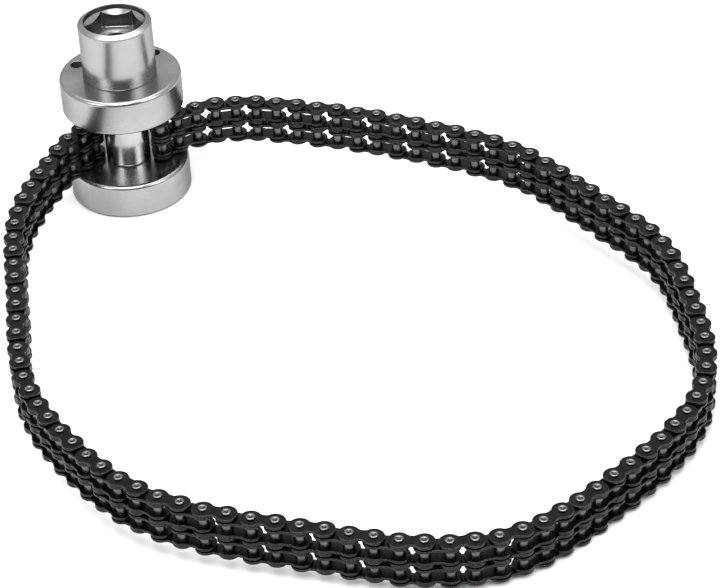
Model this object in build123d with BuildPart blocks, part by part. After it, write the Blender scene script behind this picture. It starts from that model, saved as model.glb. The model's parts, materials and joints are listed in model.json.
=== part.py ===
from build123d import *
import math
import os

# Chain oil filter wrench. A turned spool stands on its lower flange, with a
# hexagon socket on top, and a two-row bush chain runs from one anchor pin
# behind the spool's hub, round the filter and back to the other anchor pin.
# Origin: on the spool's axis, in the plane of its underside. +Z is up, and
# the loop lies in front of the spool (-Y) and to its right (+X).

# Chain, 6.35 mm pitch, two rows
pitch = 6.35
row_spacing = 6.40
inner_width = 3.18
plate_thickness = 0.75
middle_plate_thickness = 1.00
plate_height = 5.90
inner_waist = 4.70
outer_waist = 3.70
plate_waist_fillet = 1.40
bush_diameter = 3.30
pin_diameter = 2.31
running_clearance = 0.05
press_gap = 0.01
side_play = 0.35
pin_length = 14.50
pin_head_diameter = 2.45
pin_end_bevel = 0.25
pin_dimple_radius = 0.50
pin_dimple_depth = 0.30
open_pivot_pin_diameter = 2.05

# Spool
flange_diameter = 37.0
flange_top_round = 1.30
flange_bottom_edge = 0.60
lower_flange_top = 10.95
upper_flange_bottom = 29.75
upper_flange_top = 40.8
bore_edge_size = 1.0
hub_diameter = 13.5
hub_foot_edge = 0.25
spigot_diameter = 10.0
spindle_end_edge = 0.40
upper_spigot_length = 3.5
spigot_end_gap = 0.20

# Drive socket. Its top slopes up from the outer edge to a crest at the mouth.
socket_diameter = 22.3
socket_top = 59.0
socket_top_slope_drop = 0.70
socket_edge = 0.35
mouth_diameter = 18.7
mouth_straight_depth = 1.60
hexagon_across_flats = 16.0
hexagon_depth = 7.0
corner_relief_radius = 0.45
corner_relief_inset = 0.35
floor_hole_diameter = 11.1
floor_hole_edge = 0.70
floor_hole_depth = 3.0

# Anchor pins, behind the hub, each under a hole in the upper flange
anchor_radius = 14.5
right_anchor_angle = 47.5
left_anchor_angle = 157.5
anchor_hole_diameter = 4.0
anchor_hole_depth = 7.2
anchor_pin_seat = 5.0
anchor_pin_floor_gap = 0.05
anchor_pin_rise = 0.60
anchor_pin_edge = 0.30

# Route of the chain, seen from above. The first links beside the hub are
# given by their headings, in degrees, and the free run by the places it
# passes.
right_headings = (-91.0, -82.0, 38.0, 24.0)
left_headings = (-58.5, -119.5, -122.5)
free_run_places = (
    (33.5, 7.5),
    (52.0, 5.0),
    (71.0, 0.0),
    (95.0, -9.0),
    (118.0, -21.5),
    (130.5, -35.0),
    (141.5, -49.0),
    (154.5, -68.0),
    (159.5, -91.0),
    (161.5, -115.0),
    (158.0, -133.0),
    (144.5, -153.0),
    (126.0, -170.5),
    (105.5, -185.5),
    (81.0, -188.5),
    (56.5, -183.0),
    (32.0, -176.5),
    (9.5, -165.5),
    (-7.5, -147.0),
    (-19.5, -126.0),
    (-24.0, -107.0),
    (-26.0, -86.5),
    (-28.5, -65.0),
    (-28.5, -45.5),
    (-23.5, -27.0),
)
free_run_links = 91
links_held_up = 4
chain_floor_gap = 0.05
seat_gap = 0.05

# Derived sizes
row_height = row_spacing / 2
inner_link_width = inner_width + 2 * plate_thickness
bush_bore = pin_diameter + 2 * running_clearance
outer_plate_inside = row_height + inner_link_width / 2 + side_play
held_up_height = lower_flange_top + seat_gap + pin_length / 2
on_table_height = chain_floor_gap + pin_length / 2


def polar_point(radius, angle):
    return Vector(
        radius * math.cos(math.radians(angle)),
        radius * math.sin(math.radians(angle)),
    )


def step_from(point, heading):
    return point + polar_point(pitch, heading)


def headed_points(start, headings):
    points = [start]
    for heading in headings:
        points.append(step_from(points[-1], heading))
    return points


def walk(places, start, finish, stretch):
    """Step along the smooth route in whole pitches; also how far the end is."""
    through = [Vector(x * stretch, y * stretch) for x, y in places]
    with BuildLine() as route:
        Spline(start, *through, finish)
    samples = 1500
    curve = route.edges()[0]
    dots = curve.positions([i / samples for i in range(samples + 1)])
    points = [start]
    for before, after in zip(dots, dots[1:]):
        if (after - points[-1]).length < pitch:
            continue
        near = (before - points[-1]).length
        far = (after - points[-1]).length
        share = (pitch - near) / (far - near)
        points.append(before + (after - before) * share)
    left_over = (finish - points[-1]).length / pitch
    return points, len(points) - 1 + left_over


def solve_free_run(start, finish):
    """Stretch the route a little until it holds a whole number of links."""
    low, high = 0.97, 1.03
    for _ in range(24):
        middle = (low + high) / 2
        points, count = walk(free_run_places, start, finish, middle)
        if count > free_run_links:
            high = middle
        else:
            low = middle
    points = points[:free_run_links]
    return [*points, finish]


right_points = headed_points(
    polar_point(anchor_radius, right_anchor_angle), right_headings
)
left_points = headed_points(
    polar_point(anchor_radius, left_anchor_angle), left_headings
)
free_points = solve_free_run(right_points[-1], left_points[-1])
pins = right_points[:-1] + free_points + left_points[-2::-1]
link_count = len(pins) - 1
meeting_pin = 2 * (link_count // 4)


def heading_between(first, second):
    return math.degrees(math.atan2(second.Y - first.Y, second.X - first.X))


def branch_heights(count, last_height):
    """Each link sits one small step lower than the one before it."""
    steps = count - links_held_up
    drop = (held_up_height - last_height) / steps
    return [
        held_up_height - drop * max(0, number - links_held_up)
        for number in range(1, count + 1)
    ]


left_link_count = link_count - meeting_pin
left_heights = branch_heights(left_link_count, on_table_height)
last_drop = left_heights[-2] - left_heights[-1]
right_heights = branch_heights(meeting_pin, on_table_height + last_drop)


# Pieces of one link, made at the origin with the link along +X
def waisted_outline(waist, hole_diameter, far_hole_diameter):
    with BuildSketch() as outline:
        with Locations((0, 0), (pitch, 0)):
            Circle(plate_height / 2)
        with Locations((pitch / 2, 0)):
            Rectangle(pitch, waist)
        corners = outline.vertices().filter_by(
            lambda corner: 0.3 < corner.X < pitch - 0.3
        )
        fillet(corners, plate_waist_fillet)
        Circle(hole_diameter / 2, mode=Mode.SUBTRACT)
        with Locations((pitch, 0)):
            Circle(far_hole_diameter / 2, mode=Mode.SUBTRACT)
    return outline.sketch


outer_hole = pin_diameter + 2 * press_gap
inner_hole = bush_diameter + 2 * press_gap
open_pivot_hole = open_pivot_pin_diameter + 2 * press_gap
outer_outline = waisted_outline(outer_waist, outer_hole, outer_hole)
anchored_outline = waisted_outline(outer_waist, bush_bore, outer_hole)
meeting_outline = waisted_outline(outer_waist, outer_hole, open_pivot_hole)
inner_outline = waisted_outline(inner_waist, inner_hole, inner_hole)


def inner_link():
    """Four plates and four bushes."""
    with BuildPart() as link:
        for row in (-row_height, row_height):
            for side in (-1, 1):
                edge = side * inner_link_width / 2
                low = row + min(edge, edge - side * plate_thickness)
                with BuildSketch(Plane.XY.offset(low)):
                    add(inner_outline)
                extrude(amount=plate_thickness)
            with BuildSketch(Plane.XY.offset(row - inner_link_width / 2)):
                with Locations((0, 0), (pitch, 0)):
                    Circle(bush_diameter / 2)
                    Circle(bush_bore / 2, mode=Mode.SUBTRACT)
            extrude(amount=inner_link_width)
    return link.part


def pin_outline(distance, shank_diameter):
    """Corners of a riveted pin's half section, with a dimple in each end."""
    half = pin_length / 2
    head_bottom = outer_plate_inside + plate_thickness + press_gap
    head = pin_head_diameter / 2
    shank = shank_diameter / 2
    upper = [
        (shank, head_bottom),
        (head, head_bottom),
        (head, half - pin_end_bevel),
        (head - pin_end_bevel, half),
        (pin_dimple_radius, half),
        (0, half - pin_dimple_depth),
    ]
    lower = [(x, -y) for x, y in reversed(upper)]
    return [(distance + x, y) for x, y in upper + lower]


def outer_link(outline, near_pin, far_pin):
    """Two outer plates, one middle plate, and a riveted pin at each end that has one.

    A pin is given by its shank's diameter, and 0 leaves it out.
    """
    lows = (
        (-outer_plate_inside - plate_thickness, plate_thickness),
        (-middle_plate_thickness / 2, middle_plate_thickness),
        (outer_plate_inside, plate_thickness),
    )
    with BuildPart() as link:
        for low, thickness in lows:
            with BuildSketch(Plane.XY.offset(low)):
                add(outline)
            extrude(amount=thickness)
        for distance, shank_diameter in ((0, near_pin), (pitch, far_pin)):
            if shank_diameter:
                with BuildSketch(Plane.XZ):
                    with BuildLine():
                        Polyline(*pin_outline(distance, shank_diameter), close=True)
                    make_face()
                revolve(axis=Axis((distance, 0, 0), (0, 0, 1)))
    return link.part


def place_link(link, first, second, height):
    """The link's own first end at one pin of the route and its second at the next."""
    spot = Location((first.X, first.Y, height), (0, 0, heading_between(first, second)))
    return link.moved(spot)


os.makedirs("parts", exist_ok=True)

standard_inner = inner_link()
standard_outer = outer_link(outer_outline, pin_diameter, pin_diameter)
anchored_outer = outer_link(anchored_outline, 0, pin_diameter)
meeting_outer = outer_link(meeting_outline, pin_diameter, open_pivot_pin_diameter)

# Spool, four turned pieces on one axis, and its two anchor pins
anchor_spots = [(point.X, point.Y) for point in (pins[0], pins[-1])]


def shape_rims(flange):
    """Round a flange's top rim and bevel its bottom one."""
    rims = flange.edges().filter_by(GeomType.CIRCLE).sort_by(Axis.Z)
    fillet(rims[-1], flange_top_round)
    chamfer(rims[0], flange_bottom_edge)


with BuildPart() as lower_flange:
    with BuildSketch():
        Circle(flange_diameter / 2)
    extrude(amount=lower_flange_top)
    shape_rims(lower_flange)
    with Locations((0, 0, lower_flange_top)):
        Hole(spigot_diameter / 2 + press_gap)
    with Locations(*[(x, y, lower_flange_top) for x, y in anchor_spots]):
        Hole(pin_diameter / 2 + press_gap, depth=anchor_pin_seat)
    underside = lower_flange.faces().sort_by(Axis.Z)[0]
    bore_edge = underside.edges().sort_by(SortBy.RADIUS)[0]
    chamfer(bore_edge, bore_edge_size)
lower_flange.part.label = "lower_flange"
export_step(lower_flange.part, "parts/lower_flange.step")

spindle_top = upper_flange_top + upper_spigot_length
with BuildPart() as spindle:
    with BuildSketch(Plane.XZ):
        with BuildLine():
            Polyline(
                (0, 0),
                (spigot_diameter / 2, 0),
                (spigot_diameter / 2, lower_flange_top + press_gap),
                (hub_diameter / 2, lower_flange_top + press_gap),
                (hub_diameter / 2, upper_flange_bottom - press_gap),
                (spigot_diameter / 2, upper_flange_bottom - press_gap),
                (spigot_diameter / 2, spindle_top),
                (0, spindle_top),
                close=True,
            )
        make_face()
    revolve(axis=Axis.Z)
    rims = spindle.edges().filter_by(GeomType.CIRCLE)
    chamfer(rims.group_by(Axis.Z)[0], spindle_end_edge)
    chamfer(rims.group_by(Axis.Z)[-1], spindle_end_edge)
    hub_rims = rims.filter_by(lambda rim: rim.radius > hub_diameter / 2 - 0.1)
    chamfer(hub_rims.sort_by(Axis.Z)[0], hub_foot_edge)
spindle.part.label = "spindle"
export_step(spindle.part, "parts/spindle.step")

with BuildPart() as upper_flange:
    with BuildSketch(Plane.XY.offset(upper_flange_bottom)):
        Circle(flange_diameter / 2)
    extrude(amount=upper_flange_top - upper_flange_bottom)
    shape_rims(upper_flange)
    with Locations((0, 0, upper_flange_top)):
        Hole(spigot_diameter / 2 + press_gap)
    with Locations(*[(x, y, upper_flange_top) for x, y in anchor_spots]):
        CounterBoreHole(
            pin_diameter / 2 + press_gap, anchor_hole_diameter / 2, anchor_hole_depth
        )
upper_flange.part.label = "upper_flange"
export_step(upper_flange.part, "parts/upper_flange.step")

socket_base = upper_flange_top + press_gap
socket_radius = socket_diameter / 2
mouth_radius = mouth_diameter / 2
flat_radius = hexagon_across_flats / 2
hole_radius = floor_hole_diameter / 2
socket_shoulder = socket_top - socket_top_slope_drop
cone_top = socket_top - mouth_straight_depth
cone_bottom = cone_top - (mouth_radius - flat_radius)
hexagon_floor = socket_top - hexagon_depth
with BuildPart() as drive_socket:
    with BuildSketch(Plane.XZ):
        with BuildLine():
            Polyline(
                (0, socket_base),
                (socket_radius, socket_base),
                (socket_radius, socket_shoulder - socket_edge),
                (socket_radius - socket_edge, socket_shoulder),
                (mouth_radius, socket_top),
                (mouth_radius, cone_top),
                (flat_radius, cone_bottom),
                (0, cone_bottom),
                close=True,
            )
        make_face()
    revolve(axis=Axis.Z)
    with BuildSketch(Plane.XY.offset(hexagon_floor)):
        RegularPolygon(flat_radius, 6, major_radius=False)
        with PolarLocations(2 * flat_radius / math.sqrt(3) - corner_relief_inset, 6):
            Circle(corner_relief_radius)
    extrude(amount=hexagon_depth, mode=Mode.SUBTRACT)
    with BuildSketch(Plane.XZ):
        with BuildLine():
            Polyline(
                (0, hexagon_floor - floor_hole_depth),
                (hole_radius, hexagon_floor - floor_hole_depth),
                (hole_radius, hexagon_floor - floor_hole_edge),
                (hole_radius + floor_hole_edge, hexagon_floor),
                (0, hexagon_floor),
                close=True,
            )
        make_face()
    revolve(axis=Axis.Z, mode=Mode.SUBTRACT)
    with BuildSketch(Plane.XY.offset(upper_flange_top)):
        Circle(spigot_diameter / 2 + press_gap)
    extrude(amount=upper_spigot_length + spigot_end_gap, mode=Mode.SUBTRACT)
drive_socket.part.label = "drive_socket"
export_step(drive_socket.part, "parts/drive_socket.step")

anchor_pin_bottom = lower_flange_top - anchor_pin_seat + anchor_pin_floor_gap
anchor_pin_top = upper_flange_top - anchor_hole_depth + anchor_pin_rise
for side, (x, y) in zip(("right", "left"), anchor_spots):
    with BuildPart() as anchor_pin:
        with BuildSketch(Plane.XY.offset(anchor_pin_bottom)):
            with Locations((x, y)):
                Circle(pin_diameter / 2)
        extrude(amount=anchor_pin_top - anchor_pin_bottom)
        chamfer(anchor_pin.edges().filter_by(GeomType.CIRCLE), anchor_pin_edge)
    anchor_pin.part.label = f"anchor_pin_{side}"
    export_step(anchor_pin.part, f"parts/anchor_pin_{side}.step")

# Chain. Each sub-part is one outer and one inner link, counted from its anchor.
for number in range(1, meeting_pin // 2 + 1):
    near = 2 * number - 2
    outer = standard_outer if number > 1 else anchored_outer
    with BuildPart() as chain_link:
        add(place_link(outer, pins[near], pins[near + 1], right_heights[near]))
        add(
            place_link(
                standard_inner, pins[near + 1], pins[near + 2], right_heights[near + 1]
            )
        )
    chain_link.part.label = f"chain_right_{number:02d}"
    export_step(chain_link.part, f"parts/chain_right_{number:02d}.step")

for number in range(1, left_link_count // 2 + 1):
    near = 2 * number - 2
    start = link_count - near
    outer = standard_outer if number < left_link_count // 2 else meeting_outer
    with BuildPart() as chain_link:
        add(
            place_link(
                standard_inner, pins[start], pins[start - 1], left_heights[near]
            )
        )
        add(
            place_link(outer, pins[start - 1], pins[start - 2], left_heights[near + 1])
        )
    chain_link.part.label = f"chain_left_{number:02d}"
    export_step(chain_link.part, f"parts/chain_left_{number:02d}.step")
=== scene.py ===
import json
import math

import bmesh
import bpy
import numpy as np
from mathutils import Matrix, Vector

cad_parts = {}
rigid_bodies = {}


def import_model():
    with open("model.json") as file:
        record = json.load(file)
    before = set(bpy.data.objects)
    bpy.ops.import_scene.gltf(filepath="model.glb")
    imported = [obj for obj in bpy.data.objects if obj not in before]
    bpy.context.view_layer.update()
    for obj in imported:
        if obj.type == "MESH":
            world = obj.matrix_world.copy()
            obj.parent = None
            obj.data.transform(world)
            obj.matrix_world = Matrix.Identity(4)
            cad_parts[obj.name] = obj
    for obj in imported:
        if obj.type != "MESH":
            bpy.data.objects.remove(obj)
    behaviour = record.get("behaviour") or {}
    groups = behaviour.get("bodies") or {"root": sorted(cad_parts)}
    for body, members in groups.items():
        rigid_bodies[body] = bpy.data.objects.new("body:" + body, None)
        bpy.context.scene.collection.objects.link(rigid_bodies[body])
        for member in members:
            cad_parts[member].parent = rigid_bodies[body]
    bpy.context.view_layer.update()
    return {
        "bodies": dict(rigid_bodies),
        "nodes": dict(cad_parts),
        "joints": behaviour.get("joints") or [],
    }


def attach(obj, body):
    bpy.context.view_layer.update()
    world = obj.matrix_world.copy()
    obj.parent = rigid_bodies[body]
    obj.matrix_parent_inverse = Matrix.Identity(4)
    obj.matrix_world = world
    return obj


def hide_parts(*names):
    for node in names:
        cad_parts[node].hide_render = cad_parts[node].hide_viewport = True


MM = 0.001

# Chain sizes in millimetres, the same as in part.py
PITCH = 6.35
ROW_SPACING = 6.40
INNER_WIDTH = 3.18
PLATE_THICKNESS = 0.75
MIDDLE_PLATE_THICKNESS = 1.00
PLATE_HEIGHT = 5.90
INNER_WAIST = 4.70
OUTER_WAIST = 3.70
WAIST_FILLET = 1.4
BUSH_DIAMETER = 3.30
BUSH_BORE = 2.41
PIN_DIAMETER = 2.31
THIN_PIN_DIAMETER = 2.05
PIN_LENGTH = 14.50
PIN_HEAD_DIAMETER = 2.45
OUTER_PLATE_FACE = 6.64
INNER_LINK_HALF_HEIGHT = 5.54
PRESS_GAP = 0.01

# Rounding of the link plates, and the flat ring that borders a rounded edge
PLATE_EDGE = 0.14
EDGE_BORDER = 0.16

# Spool sizes in millimetres, the same as in part.py
FLANGE_DIAMETER = 37.0
FLANGE_TOP_ROUND = 1.30
FLANGE_BOTTOM_EDGE = 0.60
BORE_EDGE = 1.0
HUB_DIAMETER = 13.5
HUB_FOOT_EDGE = 0.25
SPIGOT_DIAMETER = 10.0
SPINDLE_END_EDGE = 0.40
UPPER_SPIGOT_LENGTH = 3.5
SPIGOT_END_GAP = 0.20
ANCHOR_HOLE_DIAMETER = 4.0
ANCHOR_HOLE_DEPTH = 7.2
ANCHOR_PIN_SEAT = 5.0
ANCHOR_PIN_EDGE = 0.30
SOCKET_DIAMETER = 22.3
SOCKET_TOP_SLOPE_DROP = 0.70
SOCKET_EDGE = 0.35
MOUTH_DIAMETER = 18.7
MOUTH_STRAIGHT_DEPTH = 1.60
HEXAGON_ACROSS_FLATS = 16.0
HEXAGON_DEPTH = 7.0
CORNER_RELIEF_RADIUS = 0.45
CORNER_RELIEF_INSET = 0.35
FLOOR_HOLE_DIAMETER = 11.1
FLOOR_HOLE_EDGE = 0.70
FLOOR_HOLE_DEPTH = 3.0

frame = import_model()
scene = bpy.context.scene


# ---------------------------------------------------------------- mesh tools


def new_object(name, mesh, materials):
    for material in materials:
        mesh.materials.append(material)
    piece = bpy.data.objects.new(name, mesh)
    scene.collection.objects.link(piece)
    return piece


def ring_of(points, z, inset=0.0):
    """The same closed outline, moved inwards by inset and lifted to z."""
    count = len(points)
    moved = []
    for i in range(count):
        before = Vector(points[i - 1])
        here = Vector(points[i])
        after = Vector(points[(i + 1) % count])
        along = (after - before).normalized()
        inwards = Vector((-along.y, along.x))
        place = here + inwards * inset
        moved.append((place.x, place.y, z))
    return moved


def plate_outline(waist, per_end=22, per_fillet=5):
    """Outline of a waisted link plate, counter-clockwise, from its right end."""
    radius = PLATE_HEIGHT / 2
    half = PITCH / 2
    # Centre of the fillet between the round end and the straight waist
    fillet_y = waist / 2 + WAIST_FILLET
    reach = math.sqrt((radius + WAIST_FILLET) ** 2 - fillet_y**2)
    fillet_x = half - reach
    touch = math.atan2(fillet_y, fillet_x - half)
    quarter = []
    for i in range(per_end // 2 + 1):
        angle = touch * i / (per_end // 2)
        quarter.append((half + radius * math.cos(angle), radius * math.sin(angle)))
    start = math.atan2(-fillet_y, half - fillet_x)
    for i in range(1, per_fillet + 1):
        angle = start + (-math.pi / 2 - start) * i / per_fillet
        quarter.append(
            (
                fillet_x + WAIST_FILLET * math.cos(angle),
                fillet_y + WAIST_FILLET * math.sin(angle),
            )
        )
    upper = quarter + [(-x, y) for x, y in reversed(quarter)]
    lower = [(x, -y) for x, y in reversed(upper[1:-1])]
    return upper + lower


def add_loop(bm, layer, points, wear):
    verts = []
    for x, y, z in points:
        vert = bm.verts.new((x * MM, y * MM, z * MM))
        vert[layer] = wear
        verts.append(vert)
    return verts


def bridge(bm, lower, upper, slot, smooth=True):
    count = len(lower)
    for i in range(count):
        j = (i + 1) % count
        face = bm.faces.new((lower[i], lower[j], upper[j], upper[i]))
        face.material_index = slot
        face.smooth = smooth


def fill_flat(bm, loops, slot, up):
    """A flat face between closed loops: the first is its outside, the others are holes in it."""
    edges = []
    for loop in loops:
        for first, second in zip(loop, loop[1:] + loop[:1]):
            edges.append(bm.edges.get((first, second)))
    filled = bmesh.ops.triangle_fill(bm, use_beauty=True, use_dissolve=False, edges=edges)
    for face in filled["geom"]:
        if not isinstance(face, bmesh.types.BMFace):
            continue
        face.material_index = slot
        face.smooth = False
        face.normal_update()
        if (face.normal.z > 0) != up:
            face.normal_flip()


def circle(x, y, radius, count):
    points = []
    for i in range(count):
        angle = 2 * math.pi * i / count
        points.append((x + radius * math.cos(angle), y + radius * math.sin(angle)))
    return points


def rounded_levels(z_low, z_high, edge):
    """(inset, z, wear) up the side of a plate, round its lower edge and then its upper one."""
    arc = []
    for i in range(4):
        angle = math.pi / 2 * i / 3
        inset = edge * (1 - math.sin(angle))
        drop = edge * (1 - math.cos(angle))
        arc.append((inset, drop, 1.0 if i < 3 else 0.55))
    levels = [(edge + EDGE_BORDER, z_low, 0.0)]
    for inset, drop, wear in arc:
        levels.append((inset, z_low + drop, wear))
    for inset, drop, wear in reversed(arc):
        levels.append((inset, z_high - drop, wear))
    levels.append((edge + EDGE_BORDER, z_high, 0.0))
    return levels


def add_plate(bm, layer, waist, z_low, z_high, hole_radii, slot):
    """A stamped plate with rounded edges and a hole at each end."""
    outline = plate_outline(waist)
    loops = []
    for inset, z, wear in rounded_levels(z_low, z_high, PLATE_EDGE):
        loops.append(add_loop(bm, layer, ring_of(outline, z, inset), wear))
    last = len(loops) - 2
    for i in range(len(loops) - 1):
        bridge(bm, loops[i], loops[i + 1], slot, smooth=0 < i < last)
    lower = [loops[0]]
    upper = [loops[-1]]
    for side, radius in zip((-1, 1), hole_radii):
        ring = circle(side * PITCH / 2, 0, radius, 18)
        low = add_loop(bm, layer, [(x, y, z_low) for x, y in ring], 0.3)
        high = add_loop(bm, layer, [(x, y, z_high) for x, y in ring], 0.3)
        bridge(bm, high, low, slot)
        lower.append(low)
        upper.append(high)
    fill_flat(bm, lower, slot, False)
    fill_flat(bm, upper, slot, True)


def add_lathe(bm, layer, x, y, profile, slot, count=18):
    """A turned surface. Its profile is a list of (radius, z, wear); radius 0 closes it.

    It runs so that the metal is on its left: out along the bottom, up the outside, down a hole.
    """
    rings = []
    for radius, z, wear in profile:
        if radius == 0:
            rings.append(add_loop(bm, layer, [(x, y, z)], wear))
        else:
            points = [(px, py, z) for px, py in circle(x, y, radius, count)]
            rings.append(add_loop(bm, layer, points, wear))
    for lower, upper in zip(rings, rings[1:]):
        if len(lower) > 1 and len(upper) > 1:
            bridge(bm, lower, upper, slot)
            continue
        for i in range(count):
            j = (i + 1) % count
            if len(lower) == 1:
                face = bm.faces.new((lower[0], upper[j], upper[i]))
            else:
                face = bm.faces.new((lower[i], lower[j], upper[0]))
            face.material_index = slot
            face.smooth = True
    return rings


def finish_mesh(bm, name, sharp=35):
    mesh = bpy.data.meshes.new(name)
    bm.normal_update()
    bm.to_mesh(mesh)
    bm.free()
    mesh.set_sharp_from_angle(angle=math.radians(sharp))
    return mesh


# ------------------------------------------------------------------ materials


def material_tree(name):
    material = bpy.data.materials.new(name)
    material.use_nodes = True
    tree = material.node_tree
    shader = tree.nodes["Principled BSDF"]
    return material, tree, shader


def node(tree, kind, **settings):
    made = tree.nodes.new(kind)
    for key, value in settings.items():
        if key in made.inputs:
            made.inputs[key].default_value = value
        else:
            setattr(made, key, value)
    return made


def ramp(tree, source, stops):
    made = tree.nodes.new("ShaderNodeValToRGB")
    elements = made.color_ramp.elements
    while len(elements) < len(stops):
        elements.new(0.5)
    for element, (place, colour) in zip(elements, stops):
        element.position = place
        element.color = (*colour, 1) if len(colour) == 3 else colour
    tree.links.new(source, made.inputs["Fac"])
    return made.outputs["Color"]


def mapped(tree, source, low, high, new_low, new_high):
    made = tree.nodes.new("ShaderNodeMapRange")
    made.inputs["From Min"].default_value = low
    made.inputs["From Max"].default_value = high
    made.inputs["To Min"].default_value = new_low
    made.inputs["To Max"].default_value = new_high
    tree.links.new(source, made.inputs["Value"])
    return made.outputs["Result"]


def blended(tree, factor, first, second, mode="MIX"):
    made = tree.nodes.new("ShaderNodeMix")
    made.data_type = "RGBA"
    made.blend_type = mode
    made.clamp_factor = True
    sockets = (made.inputs[0], made.inputs[6], made.inputs[7])
    for socket, value in zip(sockets, (factor, first, second)):
        if isinstance(value, (int, float)):
            socket.default_value = value
        elif isinstance(value, tuple):
            socket.default_value = (*value, 1) if len(value) == 3 else value
        else:
            tree.links.new(value, socket)
    return made.outputs[2]


def maths(tree, operation, first, second=None, third=None):
    made = tree.nodes.new("ShaderNodeMath")
    made.operation = operation
    for socket, value in zip(made.inputs, (first, second, third)):
        if value is None:
            continue
        if isinstance(value, (int, float)):
            socket.default_value = value
        else:
            tree.links.new(value, socket)
    return made.outputs[0]


def per_piece_vector(tree, spread=40.0):
    """Object coordinates moved by a different amount on each piece, so no two pieces wear alike."""
    place = tree.nodes.new("ShaderNodeTexCoord")
    info = tree.nodes.new("ShaderNodeObjectInfo")
    shift = maths(tree, "MULTIPLY", info.outputs["Random"], spread)
    added = tree.nodes.new("ShaderNodeVectorMath")
    added.operation = "ADD"
    tree.links.new(place.outputs["Object"], added.inputs[0])
    tree.links.new(shift, added.inputs[1])
    return added.outputs[0], info.outputs["Random"]


# Per-vertex value: real edge wear on the plates, painted shade in the pin dimples and down the holes
def wear_and_shade_value(tree):
    made = tree.nodes.new("ShaderNodeAttribute")
    made.attribute_name = "wear"
    return made.outputs["Fac"]


def noise(tree, vector, scale, detail=4.0, roughness=0.55):
    made = tree.nodes.new("ShaderNodeTexNoise")
    made.inputs["Scale"].default_value = scale
    made.inputs["Detail"].default_value = detail
    made.inputs["Roughness"].default_value = roughness
    tree.links.new(vector, made.inputs["Vector"])
    return made.outputs["Fac"]


def add_bump(tree, shader, height, strength, distance):
    made = tree.nodes.new("ShaderNodeBump")
    made.inputs["Strength"].default_value = strength
    made.inputs["Distance"].default_value = distance
    tree.links.new(height, made.inputs["Height"])
    tree.links.new(made.outputs["Normal"], shader.inputs["Normal"])


def black_plate_material():
    material, tree, shader = material_tree("black_oxide_plate")
    vector, piece = per_piece_vector(tree)
    cloud = noise(tree, vector, 420.0)
    fine = noise(tree, vector, 3200.0, 3.0)
    wear = wear_and_shade_value(tree)
    base = ramp(tree, cloud, [(0.25, (0.0025, 0.0025, 0.003)), (0.75, (0.010, 0.010, 0.0105))])
    base = blended(tree, mapped(tree, piece, 0, 1, 0, 0.35), base, (0.018, 0.0175, 0.0165))
    worn = maths(tree, "MULTIPLY", wear, mapped(tree, fine, 0.35, 0.68, 0.05, 0.75))
    base = blended(tree, mapped(tree, fine, 0.40, 0.72, 0.0, 0.6), base, (0.024, 0.0235, 0.023))
    colour = blended(tree, worn, base, (0.085, 0.083, 0.081))
    tree.links.new(colour, shader.inputs["Base Color"])
    shader.inputs["Metallic"].default_value = 1.0
    rough = mapped(tree, cloud, 0.3, 0.7, 0.28, 0.44)
    tree.links.new(rough, shader.inputs["Roughness"])
    shader.inputs["Coat Weight"].default_value = 0.06
    shader.inputs["Coat Roughness"].default_value = 0.28
    add_bump(tree, shader, fine, 0.45, 0.00004)
    return material


def bush_material():
    material, tree, shader = material_tree("bush_steel")
    vector, _ = per_piece_vector(tree)
    cloud = noise(tree, vector, 600.0)
    fine = noise(tree, vector, 2600.0, 3.0)
    base = ramp(tree, cloud, [(0.3, (0.06, 0.06, 0.062)), (0.75, (0.15, 0.147, 0.143))])
    tree.links.new(base, shader.inputs["Base Color"])
    shader.inputs["Metallic"].default_value = 1.0
    tree.links.new(mapped(tree, cloud, 0.3, 0.7, 0.22, 0.36), shader.inputs["Roughness"])
    shader.inputs["Coat Weight"].default_value = 0.3
    shader.inputs["Coat Roughness"].default_value = 0.15
    add_bump(tree, shader, fine, 0.2, 0.00002)
    return material


def pin_material():
    material, tree, shader = material_tree("pin_steel")
    vector, _ = per_piece_vector(tree)
    cloud = noise(tree, vector, 900.0)
    fine = noise(tree, vector, 3800.0, 3.0)
    wear = wear_and_shade_value(tree)
    base = ramp(tree, cloud, [(0.25, (0.12, 0.118, 0.116)), (0.75, (0.30, 0.297, 0.293))])
    # Darkens the pin dimples and the foot of each head: painted shade, partly dirt
    dirt_and_painted_shade = maths(tree, "SUBTRACT", 1.0, wear)
    colour = blended(tree, maths(tree, "MULTIPLY", dirt_and_painted_shade, 0.9), base, (0.028, 0.027, 0.027))
    tree.links.new(colour, shader.inputs["Base Color"])
    shader.inputs["Metallic"].default_value = 1.0
    tree.links.new(mapped(tree, cloud, 0.3, 0.7, 0.15, 0.28), shader.inputs["Roughness"])
    add_bump(tree, shader, fine, 0.25, 0.00002)
    return material


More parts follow.
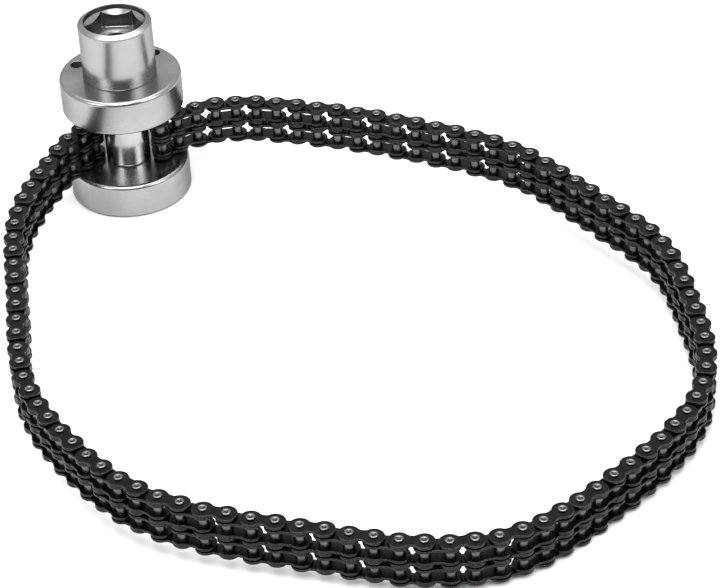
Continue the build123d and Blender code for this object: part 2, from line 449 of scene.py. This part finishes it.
def turned_metal(name, dark, light, rough_low, rough_high, anisotropic, line_depth):
    """Plated, turned metal: fine lathe lines round the axis and faint clouding."""
    material, tree, shader = material_tree(name)
    place = tree.nodes.new("ShaderNodeTexCoord").outputs["Object"]
    split = tree.nodes.new("ShaderNodeSeparateXYZ")
    tree.links.new(place, split.inputs[0])
    x2 = maths(tree, "MULTIPLY", split.outputs["X"], split.outputs["X"])
    y2 = maths(tree, "MULTIPLY", split.outputs["Y"], split.outputs["Y"])
    radius = maths(tree, "SQRT", maths(tree, "ADD", x2, y2))
    joined = tree.nodes.new("ShaderNodeCombineXYZ")
    tree.links.new(radius, joined.inputs["X"])
    tree.links.new(split.outputs["Z"], joined.inputs["Z"])
    lines = noise(tree, joined.outputs[0], 5200.0, 4.0, 0.7)
    coarse = noise(tree, joined.outputs[0], 1300.0, 2.0)
    cloud = noise(tree, place, 130.0, 5.0)
    base = blended(tree, mapped(tree, cloud, 0.3, 0.7, 0, 1), dark, light)
    shaded = tuple(value * 0.72 for value in light)
    base = blended(tree, mapped(tree, lines, 0.35, 0.7, 0.0, 0.22), base, shaded)
    tree.links.new(base, shader.inputs["Base Color"])
    shader.inputs["Metallic"].default_value = 1.0
    rough = maths(
        tree,
        "ADD",
        mapped(tree, cloud, 0.3, 0.7, rough_low, rough_high),
        mapped(tree, coarse, 0.3, 0.7, -0.025, 0.025),
    )
    tree.links.new(rough, shader.inputs["Roughness"])
    shader.inputs["Anisotropic"].default_value = anisotropic
    shader.inputs["Specular Tint"].default_value = (0.45, 0.45, 0.45, 1)
    tangent = tree.nodes.new("ShaderNodeTangent")
    tangent.direction_type = "RADIAL"
    tangent.axis = "Z"
    tree.links.new(tangent.outputs["Tangent"], shader.inputs["Tangent"])
    grain = noise(tree, place, 2600.0, 2.0, 0.6)
    height = maths(tree, "ADD", lines, maths(tree, "MULTIPLY", grain, 0.8))
    add_bump(tree, shader, height, line_depth, 0.00002)
    return material


def painted_shade_hole_material():
    """Wall of a drilled hole, painted near-black as the shade inside the hole and darkest deep down,
    with the drill's rings in it; its rounded rim keeps a lighter metal colour.
    """
    material, tree, shader = material_tree("drilled_hole_wall")
    place = tree.nodes.new("ShaderNodeTexCoord").outputs["Object"]
    cloud = noise(tree, place, 700.0)
    rings = tree.nodes.new("ShaderNodeTexWave")
    rings.bands_direction = "Z"
    rings.inputs["Scale"].default_value = 900.0
    rings.inputs["Distortion"].default_value = 3.0
    tree.links.new(place, rings.inputs["Vector"])
    base = ramp(tree, cloud, [(0.3, (0.020, 0.020, 0.021)), (0.7, (0.055, 0.053, 0.050))])
    # Light metal at the rim, near-black further down the wall: painted shade
    colour = blended(tree, maths(tree, "MULTIPLY", wear_and_shade_value(tree), 0.8), base, (0.42, 0.42, 0.415))
    tree.links.new(colour, shader.inputs["Base Color"])
    shader.inputs["Metallic"].default_value = 1.0
    tree.links.new(mapped(tree, cloud, 0.3, 0.7, 0.4, 0.6), shader.inputs["Roughness"])
    add_bump(tree, shader, rings.outputs["Fac"], 0.3, 0.00003)
    return material


PLATE = black_plate_material()
BUSH = bush_material()
PIN = pin_material()
SATIN = turned_metal(
    "satin_nickel_turned", (0.33, 0.33, 0.327), (0.40, 0.40, 0.396), 0.21, 0.28, 0.5, 0.16
)
POLISHED = turned_metal(
    "bright_nickel_turned", (0.42, 0.42, 0.415), (0.52, 0.52, 0.51), 0.17, 0.23, 0.6, 0.12
)
# Near-black anchor pins: painted shade of the dark space between the flanges beside the hub
PAINTED_SHADE_PIN = turned_metal(
    "hardened_anchor_pin", (0.012, 0.012, 0.013), (0.03, 0.03, 0.031), 0.32, 0.42, 0.4, 0.2
)
# Near-black hole walls: painted shade inside the holes
PAINTED_SHADE_HOLE = painted_shade_hole_material()
# Darker copy of the turned metal for the socket's recess floor and floor hole: painted shade
PAINTED_SHADE_RECESS = turned_metal(
    "recess_floor_turned", (0.15, 0.15, 0.148), (0.22, 0.22, 0.215), 0.26, 0.34, 0.4, 0.2
)


# ------------------------------------------------------------------ the chain


def pin_profile(radius, head_radius):
    """Half outline of a riveted pin, from bottom to top, with a dimple in each end."""
    half = PIN_LENGTH / 2
    head = OUTER_PLATE_FACE + PRESS_GAP
    # Third value: high on the rounded top of the head, low in the dimple and down the head's side to
    # the plate, where the pin darkens as painted shade, partly dirt
    upper = [
        (radius, head - 0.02, 0.3),
        (head_radius - 0.03, head, 0.05),
        (head_radius, head + 0.06, 0.25),
        (head_radius, half - 0.25, 0.45),
        (head_radius - 0.03, half - 0.14, 0.9),
        (head_radius - 0.10, half - 0.065, 1.0),
        (head_radius - 0.21, half - 0.02, 1.0),
        (head_radius - 0.33, half, 1.0),
        (head_radius - 0.45, half - 0.015, 1.0),
        (head_radius - 0.57, half - 0.06, 0.9),
        (head_radius - 0.67, half - 0.13, 0.5),
        (head_radius - 0.78, half - 0.22, 0.1),
        (0.28, half - 0.28, 0.0),
        (0.0, half - 0.30, 0.0),
    ]
    lower = [(r, -z, w) for r, z, w in reversed(upper)]
    return lower + upper


def outer_link_mesh(name, pins):
    """pins: for each end, the pin's radius or None where the anchor pin takes its place."""
    bm = bmesh.new()
    layer = bm.verts.layers.float.new("wear")
    middle = MIDDLE_PLATE_THICKNESS / 2
    face = OUTER_PLATE_FACE
    levels = [
        (-face, -face + PLATE_THICKNESS),
        (-middle, middle),
        (face - PLATE_THICKNESS, face),
    ]
    holes = [BUSH_BORE / 2 if radius is None else radius + PRESS_GAP for radius in pins]
    for low, high in levels:
        add_plate(bm, layer, OUTER_WAIST, low, high, holes, 0)
    for side, radius in zip((-1, 1), pins):
        if radius is not None:
            profile = pin_profile(radius, PIN_HEAD_DIAMETER / 2)
            add_lathe(bm, layer, side * PITCH / 2, 0, profile, 1)
    return finish_mesh(bm, name)


def inner_link_mesh(name):
    bm = bmesh.new()
    layer = bm.verts.layers.float.new("wear")
    for row in (-ROW_SPACING / 2, ROW_SPACING / 2):
        inside = INNER_WIDTH / 2
        outside = inside + PLATE_THICKNESS
        for low, high in ((row - outside, row - inside), (row + inside, row + outside)):
            add_plate(bm, layer, INNER_WAIST, low, high, [BUSH_DIAMETER / 2 + 0.004] * 2, 0)
        for side in (-1, 1):
            outer_radius = BUSH_DIAMETER / 2
            bore = BUSH_BORE / 2
            profile = [
                (bore, row + outside - 0.1, 0.2),
                (bore, row - outside + 0.1, 0.2),
                (bore + 0.1, row - outside, 0.8),
                (outer_radius - 0.1, row - outside, 0.8),
                (outer_radius, row - outside + 0.1, 0.8),
                (outer_radius, row + outside - 0.1, 0.8),
                (outer_radius - 0.1, row + outside, 0.8),
                (bore + 0.1, row + outside, 0.8),
            ]
            rings = add_lathe(bm, layer, side * PITCH / 2, 0, profile, 1)
            bridge(bm, rings[-1], rings[0], 1)
    return finish_mesh(bm, name)


def circle_centre(points):
    """Least-squares centre of a circle through 2-D points."""
    x, y = points[:, 0], points[:, 1]
    matrix = np.column_stack((x, y, np.ones(len(x))))
    answer = np.linalg.lstsq(matrix, x * x + y * y, rcond=None)[0]
    return answer[:2] / 2


def vertices_of(name):
    mesh = frame["nodes"][name].data
    co = np.empty(len(mesh.vertices) * 3)
    mesh.vertices.foreach_get("co", co)
    return co.reshape(-1, 3) / MM


def head_centres(points):
    """Centres of the pin heads on top of one chain node."""
    top = points[:, 2].max()
    rims = points[points[:, 2] > top - 0.001][:, :2]
    centres = []
    while len(rims):
        near = np.hypot(*(rims - rims[0]).T) < PIN_HEAD_DIAMETER
        group = rims[near]
        middle = (group.max(0) + group.min(0)) / 2
        outside = group[np.hypot(*(group - middle).T) > 0.75]
        centres.append(circle_centre(outside))
        rims = rims[~near]
    return centres, top - PIN_LENGTH / 2


def near_to(place, others):
    return min(others, key=lambda other: np.hypot(*(other - place)))


def place_link(name, mesh, first, second, height, body):
    """A link object whose own X axis runs from the first pin to the second."""
    piece = bpy.data.objects.new(name, mesh)
    scene.collection.objects.link(piece)
    middle = (first + second) / 2
    heading = math.atan2(second[1] - first[1], second[0] - first[0])
    turn = Matrix.Rotation(heading, 4, "Z")
    piece.matrix_world = Matrix.Translation((middle[0] * MM, middle[1] * MM, height * MM)) @ turn
    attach(piece, body)
    return piece


radius = PIN_DIAMETER / 2
OUTER = outer_link_mesh("outer_link", (radius, radius))
OUTER_FIRST = outer_link_mesh("outer_link_first", (None, radius))
OUTER_LAST = outer_link_mesh("outer_link_last", (radius, THIN_PIN_DIAMETER / 2))
INNER = inner_link_mesh("inner_link")
for mesh in (OUTER, OUTER_FIRST, OUTER_LAST):
    mesh.materials.append(PLATE)
    mesh.materials.append(PIN)
INNER.materials.append(PLATE)
INNER.materials.append(BUSH)

hinges = {}
for joint in frame["joints"]:
    hinges[joint["child"]] = np.array(joint["pos_m"][:2]) / MM

RIGHT_BODIES = sorted(name for name in frame["bodies"] if name.startswith("chain_right"))
LEFT_BODIES = sorted(name for name in frame["bodies"] if name.startswith("chain_left"))

shape = {}
for name in RIGHT_BODIES + LEFT_BODIES:
    points = vertices_of(name)
    centres, height = head_centres(points)
    shape[name] = (points, centres, height)

last_points, last_centres, last_height = shape[LEFT_BODIES[-1]]
last_hinge = hinges[LEFT_BODIES[-1]]
meeting_pin = max(last_centres, key=lambda c: np.hypot(*(c - last_hinge)))


def inner_height(points, pin):
    """Height of an inner link, read at the pin where the node has nothing else."""
    close = np.hypot(points[:, 0] - pin[0], points[:, 1] - pin[1]) < 2.5
    return points[close][:, 2].max() - INNER_LINK_HALF_HEIGHT


for index, name in enumerate(RIGHT_BODIES):
    points, centres, height = shape[name]
    near = hinges[name]
    far = max(centres, key=lambda c: np.hypot(*(c - near)))
    after = meeting_pin if index == len(RIGHT_BODIES) - 1 else hinges[RIGHT_BODIES[index + 1]]
    mesh = OUTER_FIRST if index == 0 else OUTER
    outer = place_link(f"{name}_outer_link", mesh, near, far, height, name)
    inner = place_link(f"{name}_inner_link", INNER, far, after, inner_height(points, after), name)
    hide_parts(name)

for index, name in enumerate(LEFT_BODIES):
    points, centres, height = shape[name]
    near = hinges[name]
    middle = near_to(near, centres)
    after = meeting_pin if index == len(LEFT_BODIES) - 1 else hinges[LEFT_BODIES[index + 1]]
    mesh = OUTER_LAST if index == len(LEFT_BODIES) - 1 else OUTER
    inner = place_link(f"{name}_inner_link", INNER, near, middle, inner_height(points, near), name)
    outer = place_link(f"{name}_outer_link", mesh, middle, after, height, name)
    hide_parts(name)


# ------------------------------------------------------------------ the spool


def arc_profile(centre_radius, centre_z, size, start, finish, steps=5, wear=1.0):
    """Points of a rounded edge, from one angle to another, in degrees from outwards to up."""
    points = []
    for i in range(steps + 1):
        angle = math.radians(start + (finish - start) * i / steps)
        radius = centre_radius + size * math.cos(angle)
        points.append((radius, centre_z + size * math.sin(angle), wear))
    return points


def hole_rim(radius, z):
    """The rounded rim of a hole, from the face round it down to its wall."""
    return [
        (radius + 0.14, z, 0.2),
        (radius + 0.10, z - 0.01, 1.0),
        (radius + 0.03, z - 0.05, 1.0),
        (radius, z - 0.14, 0.5),
    ]


def box_of(name):
    points = vertices_of(name)
    return points.min(0), points.max(0)


def anchor_spots():
    """Where the anchor pins stand, read from their CAD nodes."""
    spots = []
    for name in ("anchor_pin_right", "anchor_pin_left"):
        low, high = box_of(name)
        spots.append(((low[0] + high[0]) / 2, (low[1] + high[1]) / 2))
    return spots


def flange_outside(z_low, z_high):
    """From the flat of the underside, over the bevel, up the side and round the top rim."""
    radius = FLANGE_DIAMETER / 2
    edge = FLANGE_BOTTOM_EDGE
    round_size = FLANGE_TOP_ROUND
    profile = [(radius - edge - 0.12, z_low, 0.2)]
    profile += [(radius - edge, z_low + 0.02, 0.8), (radius - edge + 0.1, z_low + 0.1, 0.8)]
    profile += [(radius - 0.08, z_low + edge - 0.1, 0.8), (radius, z_low + edge + 0.05, 0.8)]
    profile += [(radius, z_low + edge + 0.3, 0.1), (radius, z_high - round_size - 0.3, 0.05)]
    profile += arc_profile(radius - round_size, z_high - round_size, round_size, 0, 90, 9)
    profile.append((radius - round_size - 0.25, z_high, 0.15))
    return profile


def flange_mesh(name, z_low, z_high, holes, bore_edge):
    """holes: for each hole, its x, y and its profile from the top face down to the bottom one."""
    bm = bmesh.new()
    layer = bm.verts.layers.float.new("wear")
    rings = add_lathe(bm, layer, 0, 0, flange_outside(z_low, z_high), 0, 192)
    lower = [rings[0]]
    upper = [rings[-1]]
    bore = SPIGOT_DIAMETER / 2 + PRESS_GAP
    inside = [(bore, z_high, 0.3), (bore, z_low + bore_edge, 0.3), (bore + bore_edge, z_low, 0.8)]
    rings = add_lathe(bm, layer, 0, 0, inside, 0, 96)
    upper.append(rings[0])
    lower.append(rings[-1])
    for x, y, profile in holes:
        rings = add_lathe(bm, layer, x, y, profile, 1, 32)
        upper.append(rings[0])
        if len(rings[-1]) > 1:
            lower.append(rings[-1])
    fill_flat(bm, upper, 0, True)
    fill_flat(bm, lower, 0, False)
    return finish_mesh(bm, name)


def spindle_mesh(name, top, hub_low, hub_high):
    bm = bmesh.new()
    layer = bm.verts.layers.float.new("wear")
    spigot = SPIGOT_DIAMETER / 2
    hub = HUB_DIAMETER / 2
    edge = HUB_FOOT_EDGE
    end = SPINDLE_END_EDGE
    profile = [(0, 0, 0.1), (spigot - end, 0, 0.8), (spigot, end, 0.8), (spigot, hub_low, 0.2)]
    profile += [(hub - edge, hub_low, 0.3), (hub - edge * 0.3, hub_low + edge * 0.3, 1.0)]
    profile += [(hub, hub_low + edge, 0.9), (hub, hub_low + edge + 0.4, 0.1)]
    profile += [(hub, hub_high, 0.1), (spigot, hub_high, 0.3)]
    profile += [(spigot, top - end, 0.5), (spigot - end, top, 0.8), (0, top, 0.1)]
    add_lathe(bm, layer, 0, 0, profile, 0, 128)
    return finish_mesh(bm, name)


def anchor_pin_mesh(name, x, y, low, high):
    bm = bmesh.new()
    layer = bm.verts.layers.float.new("wear")
    radius = PIN_DIAMETER / 2
    edge = ANCHOR_PIN_EDGE
    profile = [(0, low, 0.1), (radius - edge, low, 0.8), (radius, low + edge, 0.8)]
    profile += [(radius, low + edge + 0.2, 0.1), (radius, high - edge - 0.2, 0.1)]
    profile += [(radius, high - edge, 0.8), (radius - edge, high, 0.8), (0, high, 0.2)]
    add_lathe(bm, layer, x, y, profile, 0, 28)
    return finish_mesh(bm, name)


def hexagon_outline():
    """(angle, radius) round the hexagon recess, with its relieved corners."""
    flat = HEXAGON_ACROSS_FLATS / 2
    centre = 2 * flat / math.sqrt(3) - CORNER_RELIEF_INSET
    relief = CORNER_RELIEF_RADIUS
    sine = math.sin(math.radians(30))
    cosine = math.cos(math.radians(30))
    # Where the relief circle meets the flat beside it
    gap = flat - centre * cosine
    along = math.sqrt(relief**2 - gap**2)
    reach = math.atan2(gap * sine + along * cosine, centre + gap * cosine - along * sine)
    points = []
    for corner in range(6):
        middle = math.radians(60 * corner)
        for i in range(-4, 5):
            bearing = reach * i / 4
            across = centre * math.sin(bearing)
            distance = centre * math.cos(bearing) + math.sqrt(relief**2 - across**2)
            points.append((middle + bearing, distance))
        for i in range(1, 22):
            bearing = reach + (math.radians(60) - 2 * reach) * i / 22
            points.append((middle + bearing, flat / math.cos(bearing - math.radians(30))))
    return points


def drive_socket_mesh(name, base, top):
    bm = bmesh.new()
    layer = bm.verts.layers.float.new("wear")
    outline = hexagon_outline()
    outside = SOCKET_DIAMETER / 2
    mouth = MOUTH_DIAMETER / 2
    edge = SOCKET_EDGE
    shoulder = top - SOCKET_TOP_SLOPE_DROP
    cone_top = top - MOUTH_STRAIGHT_DEPTH
    floor_z = top - HEXAGON_DEPTH
    hole = FLOOR_HOLE_DIAMETER / 2
    hole_edge = FLOOR_HOLE_EDGE
    bore = SPIGOT_DIAMETER / 2 + PRESS_GAP
    bore_top = base - PRESS_GAP + UPPER_SPIGOT_LENGTH + SPIGOT_END_GAP
    rings = []

    def round_ring(radius, z, wear):
        points = [(radius * math.cos(a), radius * math.sin(a), z) for a, _ in outline]
        rings.append(add_loop(bm, layer, points, wear))

    def hexagon_ring(outwards, down, wear):
        """On the cone, this far outside the hexagon, and lowered a little."""
        points = []
        for angle, distance in outline:
            room = min(1, (mouth - distance - 0.002) / 0.16)
            radius = distance + outwards * room
            z = cone_top - (mouth - radius) - down
            points.append((radius * math.cos(angle), radius * math.sin(angle), z))
        rings.append(add_loop(bm, layer, points, wear))

    def hexagon_floor_ring(inwards, z, wear):
        points = []
        for angle, distance in outline:
            radius = distance - inwards
            points.append((radius * math.cos(angle), radius * math.sin(angle), z))
        rings.append(add_loop(bm, layer, points, wear))

    round_ring(bore, bore_top, 0.1)
    round_ring(bore, base, 0.3)
    round_ring(outside - 0.12, base, 0.3)
    round_ring(outside - 0.03, base + 0.03, 0.8)
    round_ring(outside, base + 0.12, 0.6)
    round_ring(outside, base + 0.5, 0.05)
    round_ring(outside, shoulder - edge - 0.35, 0.05)
    round_ring(outside, shoulder - edge, 0.7)
    round_ring(outside - 0.25 * edge, shoulder - 0.42 * edge, 1.0)
    round_ring(outside - edge, shoulder, 0.9)
    round_ring(outside - edge - 0.15, shoulder + 0.08, 0.3)
    round_ring(mouth + 0.25, top - 0.12, 0.3)
    round_ring(mouth + 0.12, top - 0.03, 1.0)
    round_ring(mouth + 0.03, top - 0.005, 1.0)
    round_ring(mouth, top - 0.08, 1.0)
    round_ring(mouth, top - 0.3, 0.2)
    round_ring(mouth, cone_top, 0.3)
    hexagon_ring(0.16, 0, 0.3)
    hexagon_ring(0.10, 0, 1.0)
    hexagon_ring(0.03, 0.03, 1.0)
    hexagon_ring(0.0, 0.12, 0.7)
    hexagon_ring(0.0, 0.35, 0.1)
    hexagon_floor_ring(0.0, floor_z + 0.1, 0.0)
    hexagon_floor_ring(0.08, floor_z, 0.0)
    round_ring(hole + hole_edge + 0.08, floor_z, 0.2)
    round_ring(hole + hole_edge, floor_z - 0.03, 1.0)
    round_ring(hole + 0.06, floor_z - hole_edge + 0.03, 1.0)
    round_ring(hole, floor_z - hole_edge - 0.06, 0.6)
    round_ring(hole, floor_z - FLOOR_HOLE_DEPTH, 0.0)
    # The recess floor and floor hole take slot 2, the darker copy of the metal as painted shade
    floor_start = len(rings) - 6
    for i in range(len(rings) - 1):
        bridge(bm, rings[i], rings[i + 1], 2 if i >= floor_start else 0)
    for ring, z, upwards in (
        (rings[0], bore_top, False),
        (rings[-1], floor_z - FLOOR_HOLE_DEPTH, True),
    ):
        middle = add_loop(bm, layer, [(0, 0, z)], 0.0)[0]
        for first, second in zip(ring, ring[1:] + ring[:1]):
            corners = (first, second, middle) if upwards else (second, first, middle)
            face = bm.faces.new(corners)
            face.smooth = True
            face.material_index = 2
    return finish_mesh(bm, name)


def place_turned(node, mesh, material):
    """A spool piece in place of its CAD node; slots 1 and 2 serve the holes and the recess floor,
    both darkened as painted shade.
    """
    piece = new_object(f"{node}_turned", mesh, [material, PAINTED_SHADE_HOLE, PAINTED_SHADE_RECESS])
    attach(piece, "spool")
    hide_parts(node)


spots = anchor_spots()
pin_hole = PIN_DIAMETER / 2 + PRESS_GAP
lower_top = box_of("lower_flange")[1][2]
upper_low = box_of("upper_flange")[0][2]
upper_top = box_of("upper_flange")[1][2]
socket_low = box_of("drive_socket")[0][2]
socket_top = box_of("drive_socket")[1][2]
spindle_top = box_of("spindle")[1][2]
pin_low = box_of("anchor_pin_right")[0][2]
pin_high = box_of("anchor_pin_right")[1][2]

seat_floor = lower_top - ANCHOR_PIN_SEAT
sight_floor = upper_top - ANCHOR_HOLE_DEPTH
seats = []
sight_holes = []
for x, y in spots:
    # Third values fall down each hole, so its wall darkens downwards as painted shade
    seat = [(pin_hole, lower_top, 0.6), (pin_hole, seat_floor, 0.1), (0, seat_floor, 0.1)]
    seats.append((x, y, seat))
    sight = hole_rim(ANCHOR_HOLE_DIAMETER / 2, upper_top)
    sight += [(ANCHOR_HOLE_DIAMETER / 2, sight_floor, 0.0), (pin_hole, sight_floor, 0.0)]
    sight += [(pin_hole, upper_low, 0.3)]
    sight_holes.append((x, y, sight))

lower_mesh = flange_mesh("lower_flange_turned", 0.0, lower_top, seats, BORE_EDGE)
upper_mesh = flange_mesh("upper_flange_turned", upper_low, upper_top, sight_holes, 0.01)
socket_mesh = drive_socket_mesh("drive_socket_turned", socket_low, socket_top)
hub_low = lower_top + PRESS_GAP
hub_high = upper_low - PRESS_GAP
hub_mesh = spindle_mesh("spindle_turned", spindle_top, hub_low, hub_high)
place_turned("lower_flange", lower_mesh, SATIN)
place_turned("upper_flange", upper_mesh, SATIN)
place_turned("drive_socket", socket_mesh, SATIN)
place_turned("spindle", hub_mesh, POLISHED)
for name, (x, y) in zip(("anchor_pin_right", "anchor_pin_left"), spots):
    pin_mesh = anchor_pin_mesh(f"{name}_turned", x, y, pin_low, pin_high)
    place_turned(name, pin_mesh, PAINTED_SHADE_PIN)


# ------------------------------------------------------- floor, light, camera


def area_light(name, place, target, size, power, size_y=None):
    data = bpy.data.lights.new(name, "AREA")
    data.energy = power
    data.size = size
    if size_y:
        data.shape = "RECTANGLE"
        data.size_y = size_y
    lamp = bpy.data.objects.new(name, data)
    scene.collection.objects.link(lamp)
    lamp.location = place
    lamp.rotation_euler = (Vector(target) - Vector(place)).to_track_quat("-Z", "Y").to_euler()
    return lamp


FLOOR_REACH = 4
FLOOR_Z = -0.00002
floor_mesh = bpy.data.meshes.new("floor")
floor_corners = []
for x, y in ((-1, -1), (1, -1), (1, 1), (-1, 1)):
    floor_corners.append((x * FLOOR_REACH, y * FLOOR_REACH, FLOOR_Z))
floor_mesh.from_pydata(floor_corners, [], [(0, 1, 2, 3)])
floor_material, floor_tree, floor_shader = material_tree("pale_floor")
floor_shader.inputs["Base Color"].default_value = (0.94, 0.94, 0.94, 1)
floor_shader.inputs["Roughness"].default_value = 0.6
floor_shader.inputs["Specular IOR Level"].default_value = 0.2
floor = new_object("floor", floor_mesh, [floor_material])

world = bpy.data.worlds.new("studio")
scene.world = world
world.use_nodes = True
backdrop = world.node_tree.nodes["Background"]
backdrop.inputs["Strength"].default_value = 1.0
# White all round, but for the dim end of the room, low down in front of the wrench
look = world.node_tree.nodes.new("ShaderNodeTexCoord").outputs["Generated"]
towards = world.node_tree.nodes.new("ShaderNodeVectorMath")
towards.operation = "DOT_PRODUCT"
towards.inputs[1].default_value = (0.0, -0.95, 0.31)
world.node_tree.links.new(look, towards.inputs[0])
dim = mapped(world.node_tree, towards.outputs["Value"], 0.50, 0.85, 0.0, 1.0)
sky = blended(world.node_tree, dim, (0.80, 0.81, 0.83), (0.10, 0.10, 0.10))
world.node_tree.links.new(sky, backdrop.inputs["Color"])

centre = (0.05, -0.05, 0.0)
area_light("key_left", (-0.75, -0.75, 0.75), centre, 0.5, 5)
area_light("key_right", (0.85, -0.55, 0.75), centre, 0.5, 4.5)
area_light("top", (0.05, 0.1, 1.3), centre, 1.2, 13)
area_light("front", (0.0, -0.72, 1.08), (0, 0, 0.05), 0.55, 7)

scene.view_settings.view_transform = "Standard"


def add_camera():
    """Camera on the viewing line of the picture: 36.07 degrees down, tilted by -2.92 degrees."""
    down = math.radians(36.07)
    turn = math.radians(-0.49)
    roll = math.radians(-2.92)
    forward = Vector(
        (math.sin(turn) * math.cos(down), math.cos(turn) * math.cos(down), -math.sin(down))
    )
    right = Vector((math.cos(turn), -math.sin(turn), 0))
    up = right.cross(forward)
    right_rolled = math.cos(roll) * right + math.sin(roll) * up
    up_rolled = -math.sin(roll) * right + math.cos(roll) * up
    data = bpy.data.cameras.new("camera")
    data.sensor_width = 36
    data.lens = 130.2
    data.clip_start = 0.01
    data.clip_end = 20
    camera = bpy.data.objects.new("camera", data)
    scene.collection.objects.link(camera)
    turned = Matrix((right_rolled, up_rolled, -forward)).transposed().to_4x4()
    camera.matrix_world = Matrix.Translation((0.0749, -0.6773, 0.4471)) @ turned
    scene.camera = camera


add_camera()
